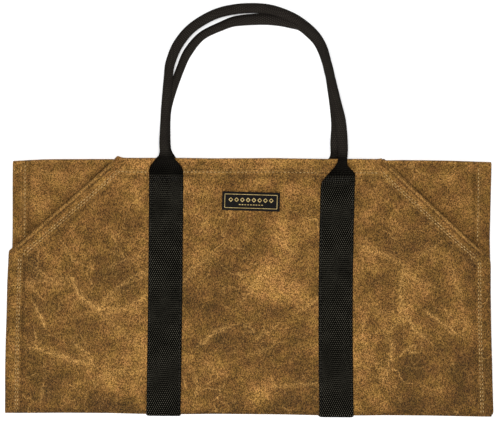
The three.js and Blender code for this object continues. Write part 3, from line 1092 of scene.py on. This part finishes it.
def make_stitches(name, seams, length, pitch):
    """One joined mesh of stitches along seams; a seam is (points, normals) on a surface."""
    template, stitch_faces = stitch_template()
    local = template * np.array([STITCH_RADIUS, 1.0, STITCH_RADIUS])
    vertices, faces = [], []
    for points, normals in seams:
        run = path_run(points)
        for start in np.arange(FIRST_STITCH * pitch, run[-1] - length, pitch):
            first, last = on_path(run, points, [start, start + length])
            normal = unit(on_path(run, normals, start))
            side = unit(np.cross(last - first, normal))
            slant = side * rng.uniform(-STITCH_SLANT, STITCH_SLANT) * length
            thread = first - slant + local[:, 1:2] * (last - first + 2 * slant)
            base = len(vertices) * len(template)
            vertices.append(thread + local[:, :1] * side + local[:, 2:] * normal)
            faces += [[base + corner for corner in face] for face in stitch_faces]
    return mesh_object(name, np.concatenate(vertices) + BOTTOM_FOLD, faces)


def face_point(layer, x, y, face=1):
    """Points on a layer's outer face, or on its inner one, with their normals."""
    x, y = np.asarray(x, float), np.asarray(y, float)
    out = OUTSIDE[layer] * face
    z = middle_height(layer, x, y) + out * half_thickness(layer, x, y)
    if layer == BACK_END and face == 1:
        z = underside(layer, x, y) + STITCH_SINK
    points = np.stack([x + side_shift(layer, x, y), y + edge_rise(layer, x, y), z], -1)
    normals = np.broadcast_to(np.array([0.0, 0.0, out]), points.shape)
    return points, normals


def side_seam(layer, hand, inset, start, end, count=SHORT_SEAM, face=1):
    """A seam along one side of a layer, and along the slanted cut above it."""
    y = np.linspace(start, end, count)
    return face_point(layer, hand * (layer_edge(layer, y) - inset), y, face)


def hem_seams():
    """Rows of stitches along the hems, on the carrier's outer face and on the corners that show."""
    seams = []
    slope = CUT_SLOPE / CUT_HEIGHT
    strap_in = STRAP_X - STRAP_WIDTH / 2
    strap_out = STRAP_X + STRAP_WIDTH / 2
    for inset in STITCH_ROWS:
        turn_y = CUT_START - inset * (CUT_SLOPE - CUT_HEIGHT) / CUT_WIDTH
        top_y = PANEL_HEIGHT - inset / TOP_HEM_SHARE
        top_x = float(layer_edge(0, top_y)) - inset * slope
        is_inner_row = inset == STITCH_ROWS[1]
        for layer in range(4):
            side_top = turn_y if IS_END[layer] else MIDDLE_FOLD - FOLD_CLEAR["seam"]
            for hand in (-1, 1):
                seams.append(side_seam(layer, hand, inset, SEAM_START, side_top, LONG_SEAM))
                if IS_END[layer]:
                    seams.append(side_seam(layer, hand, inset * slope, side_top, top_y))
                elif is_inner_row:
                    start = CUT_START + inset
                    seams.append(side_seam(layer, hand, inset, start, side_top, face=-1))
        for layer in (0, BACK_END) if is_inner_row else ():
            for start, end in ((-top_x, -strap_out), (-strap_in, strap_in), (strap_out, top_x)):
                x = np.linspace(start, end, SHORT_SEAM)
                seams.append(face_point(layer, x, np.full_like(x, top_y)))
    return seams


def strap_seam(layer, hand, offset, y):
    """A seam on a strap's outer face; offset runs across from the strap's middle line."""
    offset, y = np.broadcast_arrays(offset, y)
    points, normals = face_point(layer, np.full_like(y, hand * STRAP_X), y)
    points = points + np.array([0, 0, OUTSIDE[layer]]) * (SEAT + STRAP)
    points[:, 0] += offset + strap_drift(hand, "layer", layer, y)
    return points, normals


def strap_seams():
    """Black stitches along both edges of each strap on the two ends, and across each neck."""
    legs = np.linspace(STRAP_SEAM_START, PANEL_HEIGHT - HEAD_SEAMS[1], LONG_SEAM)
    head = np.linspace(-1, 1, HEAD_SEAM) * (STRAP_WIDTH / 2 - 2 * STRAP_SEAM_INSET)
    seams = []
    for layer in (0, BACK_END):
        for hand in (-1, 1):
            for edge in (-1, 1):
                inset = edge * (STRAP_WIDTH / 2 - STRAP_SEAM_INSET)
                seams.append(strap_seam(layer, hand, inset, legs))
            for below in HEAD_SEAMS:
                seams.append(strap_seam(layer, hand, head, PANEL_HEIGHT - below))
    return seams


# Label: a thin woven patch with a sewn border and a plain motif
def label_place(u, v, height):
    """A place on the label: u along it, v up it, from its middle, and height above its face."""
    x = u * math.cos(LABEL_TILT) - v * math.sin(LABEL_TILT)
    y = u * math.sin(LABEL_TILT) + v * math.cos(LABEL_TILT) + label_middle.y - BOTTOM_Y
    return np.stack([x, y, middle_height(0, x, y) + CANVAS / 2 + SEAT + height], -1)


def label_lines(size, rim, count):
    """Grid lines across the label: close together at its rim, even between."""
    low = -np.array(rim)
    return np.concatenate([low[:-1], np.linspace(low[-1], rim[-1], count), rim[-2::-1]]) * size


def make_label():
    u, v = (label_lines(*axis) for axis in zip(LABEL_SIZE, LABEL_RIMS, LABEL_COUNTS))
    rings, places = [], []
    for row in v:
        edge = np.minimum(LABEL_SIZE[0] / 2 - np.abs(u), LABEL_SIZE[1] / 2 - abs(row))
        top = LABEL_THICKNESS * lerp(LABEL_RIM_HEIGHT, 1, np.sqrt(clamp01(edge / LABEL_ROUND)))
        level = np.full_like(u, row)
        rings.append(np.concatenate([label_place(u, level, top), label_place(u, level, 0 * u)[::-1]]))
        flat = np.stack([u, level, 0 * u], -1)
        places.append(np.concatenate([flat, flat[::-1]]))
    return loft_object("label_patch", np.array(rings)[::-1], {"place": np.array(places)[::-1]})


def thread_band(corners, thread):
    """Rings of a low flat thread through corners on the label."""
    points = np.array(corner_run(corners, thread["step"]))
    along = np.gradient(points, axis=0)
    along = along / np.linalg.norm(along, axis=1)[:, None]
    side = np.stack([-along[:, 1], along[:, 0]], -1)
    above = [(across, LABEL_THICKNESS + lift * thread["high"]) for across, lift in RIBBON_SECTION]
    below = [(across, LABEL_THICKNESS * RIBBON_SINK) for across, _ in RIBBON_SECTION[::-1]]
    ring = []
    for across, height in above + below:
        at = points + side * across * thread["wide"] / 2
        ring.append(label_place(at[:, 0], at[:, 1], height))
    return np.stack(ring, 1)


def corner_run(corners, step):
    points = []
    for a, b in zip(corners, corners[1:]):
        a, b = np.array(a), np.array(b)
        count = max(2, int(np.linalg.norm(b - a) / step))
        points += [a + (b - a) * k / count for k in range(count)]
    return points + [np.array(corners[-1])]


def motif_middles(row):
    return [(k - (row["count"] - 1) / 2) * row["pitch"] for k in range(row["count"])]


def make_label_threads():
    """Border line and motif in pale thread, joined into one object."""
    u, v = (size / 2 - inset for size, inset in zip(LABEL_SIZE, BORDER_INSET))
    border = [(-u, -v), (u, -v), (u, v), (-u, v), (-u, -v)]
    bands = [thread_band(side, BORDER) for side in zip(border, border[1:])]
    v, reach = DIAMONDS["v"], DIAMONDS["reach"]
    for u in motif_middles(DIAMONDS):
        corners = [(u - reach, v), (u, v + reach), (u + reach, v), (u, v - reach), (u - reach, v)]
        bands.append(thread_band(corners, DIAMOND))
    v, reach = DASHES["v"], DASHES["reach"]
    for u in motif_middles(DASHES):
        bands.append(thread_band([(u - reach, v), (u + reach, v)], DASH))
    parts = [loft_object(f"label_thread_{k}", band) for k, band in enumerate(bands)]
    return join(parts, "label_threads")


def join(parts, name):
    """Joins objects into the first one."""
    for obj in bpy.context.selected_objects:
        obj.select_set(False)
    for part in parts:
        part.select_set(True)
    bpy.context.view_layer.objects.active = parts[0]
    bpy.ops.object.join()
    parts[0].name = name
    return parts[0]


# Materials
class Nodes:
    """A short way to write a node tree: each call adds a node and returns its output."""

    def __init__(self, name):
        self.material = bpy.data.materials.new(name)
        self.material.use_nodes = True
        self.tree = self.material.node_tree
        self.shader = self.tree.nodes["Principled BSDF"]

    def add(self, kind, inputs, output=0, **settings):
        node = self.tree.nodes.new(kind)
        for key, value in settings.items():
            setattr(node, key, value)
        for key, value in inputs.items():
            self.set(node.inputs[key], value)
        return node.outputs[output]

    def set(self, socket, value):
        if isinstance(value, bpy.types.NodeSocket):
            self.tree.links.new(value, socket)
        else:
            socket.default_value = value

    def attribute(self, name, output="Fac"):
        return self.add("ShaderNodeAttribute", {}, output, attribute_name=name)

    def math(self, operation, *values):
        return self.add("ShaderNodeMath", dict(enumerate(values)), operation=operation)

    def times(self, first, second):
        return self.math("MULTIPLY", first, second)

    def plus(self, first, second):
        return self.math("ADD", first, second)

    def bell(self, value, width):
        """1 where the value is 0, falling off over the width."""
        scaled = self.times(value, 1 / width)
        return self.math("EXPONENT", self.times(self.times(scaled, scaled), -1.0))

    def stretch(self, vector, scale):
        return self.add("ShaderNodeMapping", {"Vector": vector, "Scale": scale})

    def axes(self, place):
        return [self.add("ShaderNodeSeparateXYZ", {0: place}, axis) for axis in ("X", "Y")]

    def noise(self, vector, scale, detail=3.0, roughness=0.5, output=0):
        inputs = {"Vector": vector, "Scale": scale, "Detail": detail, "Roughness": roughness}
        return self.add("ShaderNodeTexNoise", inputs, output)

    def span(self, value, low, high, start=0.0, end=1.0):
        inputs = {"Value": value, "From Min": low, "From Max": high, "To Min": start, "To Max": end}
        return self.add("ShaderNodeMapRange", inputs)

    def blend(self, factor, first, second, mode="MIX"):
        node = self.tree.nodes.new("ShaderNodeMix")
        node.data_type = "RGBA"
        node.blend_type = mode
        for key, value in (("Factor", factor), ("A", first), ("B", second)):
            self.set(node.inputs[key], value)
        return node.outputs["Result"]

    def stain(self, colour, where, share, name):
        """The colour, stained with a share of a named one."""
        return self.blend(self.times(where, share), colour, tone(name))

    def bump(self, height, distance, strength, normal=None):
        inputs = {"Height": height, "Distance": distance, "Strength": strength}
        if normal is not None:
            inputs["Normal"] = normal
        return self.add("ShaderNodeBump", inputs)

    def finish(self, colour, roughness, normal, **constants):
        self.set(self.shader.inputs["Base Color"], colour)
        self.set(self.shader.inputs["Roughness"], roughness)
        self.set(self.shader.inputs["Normal"], normal)
        for key, value in constants.items():
            self.shader.inputs[key.replace("_", " ")].default_value = value
        return self.material


def tone(name):
    """A named sRGB colour as the linear colour that the shader takes."""
    channels = []
    for value in COLOURS[name]:
        share = value / 255
        channels.append(share / 12.92 if share <= 0.04045 else ((share + 0.055) / 1.055) ** 2.4)
    return (*channels, 1.0)


def canvas_material():
    n = Nodes("waxed_canvas")
    place = n.attribute("place", "Vector")
    # Mottled wax: broad clouds, patches and blotches
    broad = n.noise(place, 13.0, 3.0, 0.55)
    patch = n.noise(place, 46.0, 4.0, 0.6)
    mottle = n.plus(n.plus(n.times(broad, 0.25), n.times(patch, 0.6)), 0.075)
    # The cloud attribute holds the clouds in the wax, painted shade along the bottom fold and the
    # sides, painted light along the top edge and a painted light strip beside each strap
    mottle = n.plus(mottle, n.times(n.attribute("cloud"), 0.2))
    colour = n.blend(n.span(mottle, 0.34, 0.5), tone("dark wax"), tone("wax"))
    colour = n.blend(n.span(mottle, 0.5, 0.68), colour, tone("pale wax"))
    # The wax runs from olive to rust over short stretches
    hue = n.span(n.noise(place, 75.0, 3.0, 0.6), 0.36, 0.64)
    colour = n.blend(0.35, colour, n.blend(hue, OLIVE_TINT, RUST_TINT), "MULTIPLY")
    marks = n.math("MAXIMUM", wax_cracks(n, place), charted_creases(n, place))
    # Along the hems: worn edges, painted highlights, a painted shadow and painted shade
    colour = hem_wear_and_painted_light(n, n.stain(colour, marks, 0.85, "broken wax"))
    # Plain weave of thick threads, uneven in tone, with finer specks
    grain = canvas_grain(n, place)
    shade = n.blend(n.span(grain, -0.8, 0.8), *GRAIN_TONES)
    colour = n.blend(1.0, colour, shade, "MULTIPLY")
    normal = n.bump(n.plus(n.times(grain, 0.5), patch), 0.4 * MM, 0.8)
    normal = n.bump(marks, 0.5 * MM, 0.5, normal)
    roughness = n.span(mottle, 0.3, 0.7, 0.62, 0.8)
    return n.finish(colour, roughness, normal, Specular_IOR_Level=0.14)


def plain_weave(n, place, thread):
    across, along = (n.math("SINE", n.times(axis, thread)) for axis in n.axes(place))
    return n.times(across, along)


def canvas_grain(n, place):
    weave = plain_weave(n, place, math.pi / THREAD_WIDTH)
    speck = n.noise(n.stretch(place, (1350.0, 900.0, 1.0)), 1.0, 1.5, 0.6)
    warp = n.noise(n.stretch(place, (1500.0, 380.0, 1.0)), 1.0, 1.0)
    weft = n.noise(n.stretch(place, (420.0, 1300.0, 1.0)), 1.0, 1.0)
    slub = n.plus(speck, n.plus(n.times(warp, 0.65), n.times(weft, 0.35)))
    return n.plus(n.span(slub, 0.86, 1.14, -1.0, 1.0), n.times(weave, 0.5))


def wax_cracks(n, place):
    """Fine pale lines where the wax has broken, in drifts."""
    colours = n.noise(place, 26.0, output="Color")
    warp = n.add("ShaderNodeVectorMath", {0: colours, "Scale": 0.05}, operation="SCALE")
    bent = n.add("ShaderNodeVectorMath", {0: place, 1: warp}, operation="ADD")
    cracks = 0.0
    for net in CRACKS:
        inputs = {"Vector": bent, "Scale": net["scale"]}
        distance = n.add("ShaderNodeTexVoronoi", inputs, feature="DISTANCE_TO_EDGE")
        line = n.span(distance, 0.0, net["width"], net["strength"], 0.0)
        mask = n.span(n.noise(place, net["scale"] * 0.8), 0.5, 0.64)
        cracks = n.math("MAXIMUM", cracks, n.times(line, mask))
    return cracks


def charted_creases(n, place):
    """The creases charted on the front: frayed bright cores with a faint pale halo."""
    across = n.attribute("crease_across")
    wobble = n.span(n.noise(place, 70.0), 0.2, 0.8, -2.0, 2.0)
    core = n.bell(n.plus(across, wobble), 0.75)
    strands = n.bell(n.plus(across, n.times(wobble, -1.6)), 0.5)
    frayed = n.span(n.noise(place, 300.0), 0.36, 0.6, 0.35, 1.0)
    line = n.times(n.math("MAXIMUM", core, n.times(strands, 0.6)), frayed)
    halo = n.times(n.bell(across, 3.2), 0.17)
    return n.times(n.attribute("crease"), n.plus(line, halo))


def hem_wear_and_painted_light(n, colour):
    """Pale worn edges, and along the hems a painted highlight on the lip of each slanted hem, a
    painted shadow beyond its cut, painted shade at the foot of each hem and in the groove behind the
    lip, and a pale band with dark holes along the stitching.
    """
    distances = {key: n.attribute(key) for key in ("edge", "cut")}
    colour = n.blend(n.span(distances["edge"], 0.0, WORN_EDGE, 0.3, 0.0), colour, tone("worn edge"))
    for band in HEM_BANDS:
        where = n.bell(n.plus(distances[band["follows"]], -band["at"]), band["width"])
        colour = n.stain(colour, where, band["share"], band["colour"])
    return colour


def webbing_material():
    n = Nodes("black_webbing")
    place = n.attribute("place", "Vector")
    across, along = n.axes(place)
    # Staggered dots of the weave, skewed into a faint herringbone
    skew = n.math("PINGPONG", across, HERRINGBONE / 2)
    shifted = n.plus(along, n.times(skew, 0.08))
    ribs = n.math("COSINE", n.times(across, 2 * math.pi / RIB_PITCH))
    picks = n.math("COSINE", n.times(shifted, 2 * math.pi / PICK_PITCH))
    fibre = n.noise(n.stretch(place, (500.0, 1500.0, 1.0)), 1.0, 2.0)
    height = n.plus(n.times(ribs, picks), n.times(fibre, 0.6))
    # Painted highlights on the raised dots of the weave, weaker at random and in the doubled zone at
    # the head of each strap
    glint_share = n.span(n.noise(place, 45.0), 0.35, 0.65, 0.6, 1.0)
    glint_share = n.times(glint_share, n.span(n.attribute("sewn"), 0.0, 1.0, 1.0, 0.3))
    lit = n.times(n.span(height, 0.65, 1.25), glint_share)
    colour = n.blend(lit, tone("webbing"), tone("webbing lit"))
    colour = n.stain(colour, n.attribute("rolled"), 0.45, "webbing rolled")
    return n.finish(colour, 0.9, n.bump(height, 0.35 * MM, 0.7), Specular_IOR_Level=0.01)


def thread_material(name):
    n = Nodes(f"{name}_thread")
    place = n.add("ShaderNodeTexCoord", {}, "Object")
    twist = n.noise(n.stretch(place, (900.0, 900.0, 900.0)), 1.0, 2.0)
    fibres = n.span(n.plus(twist, n.noise(place, 120.0, 2.0)), 0.8, 1.2)
    colour = n.blend(fibres, tone(f"{name} dark"), tone(name))
    return n.finish(colour, 0.8, n.bump(twist, 0.15 * MM, 0.8), Specular_IOR_Level=0.15)


def label_material():
    n = Nodes("woven_label")
    place = n.attribute("place", "Vector")
    weave = n.plus(plain_weave(n, place, 2 * math.pi / LABEL_THREAD), n.noise(place, 900.0, 2.0))
    colour = n.blend(n.span(weave, -0.3, 1.4), tone("label"), tone("label lit"))
    return n.finish(colour, 0.85, n.bump(weave, 0.15 * MM, 0.6), Specular_IOR_Level=0.12)


def floor_material():
    n = Nodes("pale_floor")
    grain = n.noise(n.add("ShaderNodeTexCoord", {}, "Object"), 8.0, 2.0)
    colour = n.blend(n.span(grain, 0.3, 0.7), *FLOOR_TONES)
    glow = {"Emission_Color": (1, 1, 1, 1), "Emission_Strength": 0.15}
    return n.finish(colour, 0.9, n.bump(grain, 0.1 * MM, 0.1), **glow)


def dress(obj, material, slot, *nodes):
    obj.data.materials.clear()
    obj.data.materials.append(material)
    if nodes:
        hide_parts(*nodes)
    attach(obj, "root")
    return obj


# Stage
def add_floor():
    corners = np.array([(-1, -1, 0), (1, -1, 0), (1, 1, 0), (-1, 1, 0)]) * FLOOR_REACH
    floor = mesh_object("floor", corners - np.array([0, 0, FLOOR_DROP]), [(0, 1, 2, 3)])
    floor.data.materials.append(floor_material())


def add_light(name, place, size, power):
    light = bpy.data.lights.new(name, "AREA")
    light.shape = "SQUARE"
    light.size = size
    light.energy = power
    new_object(name, light, place, (-Vector(place)).to_track_quat("-Z", "Y").to_euler())


def add_camera():
    """Straight above, framed as the photograph is."""
    x, y = photo_to_panel((IMAGE_WIDTH / 2, IMAGE_HEIGHT / 2))
    camera = bpy.data.cameras.new("camera")
    camera.lens = LENS
    camera.sensor_width = SENSOR
    height = IMAGE_WIDTH * PHOTO_SCALE * LENS / SENSOR + FRAMED_HEIGHT
    place = (x, y + BOTTOM_Y, height)
    bpy.context.scene.camera = new_object("camera", camera, place, (0, 0, PHOTO_TILT))


def set_world():
    world = bpy.data.worlds.new("studio")
    world.use_nodes = True
    background = world.node_tree.nodes["Background"]
    background.inputs["Color"].default_value = (1, 1, 1, 1)
    background.inputs["Strength"].default_value = WORLD_STRENGTH
    bpy.context.scene.world = world
    bpy.context.scene.view_settings.view_transform = "Standard"


add_camera()
add_floor()
set_world()
for lamp_row in LIGHTS:
    add_light(**lamp_row)

canvas, sheet_length = make_canvas()
dress(canvas, canvas_material(), "waxed_canvas", "canvas_panel")
webbing_finish = webbing_material()
front_necks = (NECKS["left"], NECKS["right"])
front_webbing = make_webbing("front_webbing", 0, FRONT_HANDLE, FRONT_RISE, front_necks)
dress(front_webbing, webbing_finish, "black_webbing", "webbing_front")
back_necks = (NECKS["back left"], NECKS["back right"])
back_webbing = make_webbing("back_webbing", BACK_END, BACK_HANDLE, BACK_RISE, back_necks)
dress(back_webbing, webbing_finish, "black_webbing", "webbing_back")
dress(make_label(), label_material(), "woven_label", "label")

cream, gold, black = (thread_material(name) for name in ("cream", "gold", "black"))
dress(make_label_threads(), gold, "woven_label")
hem_stitches = make_stitches("hem_stitches", hem_seams(), **HEM_STITCH)
dress(hem_stitches, cream, "waxed_canvas")
dress(make_stitches("strap_stitches", strap_seams(), **STRAP_STITCH), black, "black_webbing")
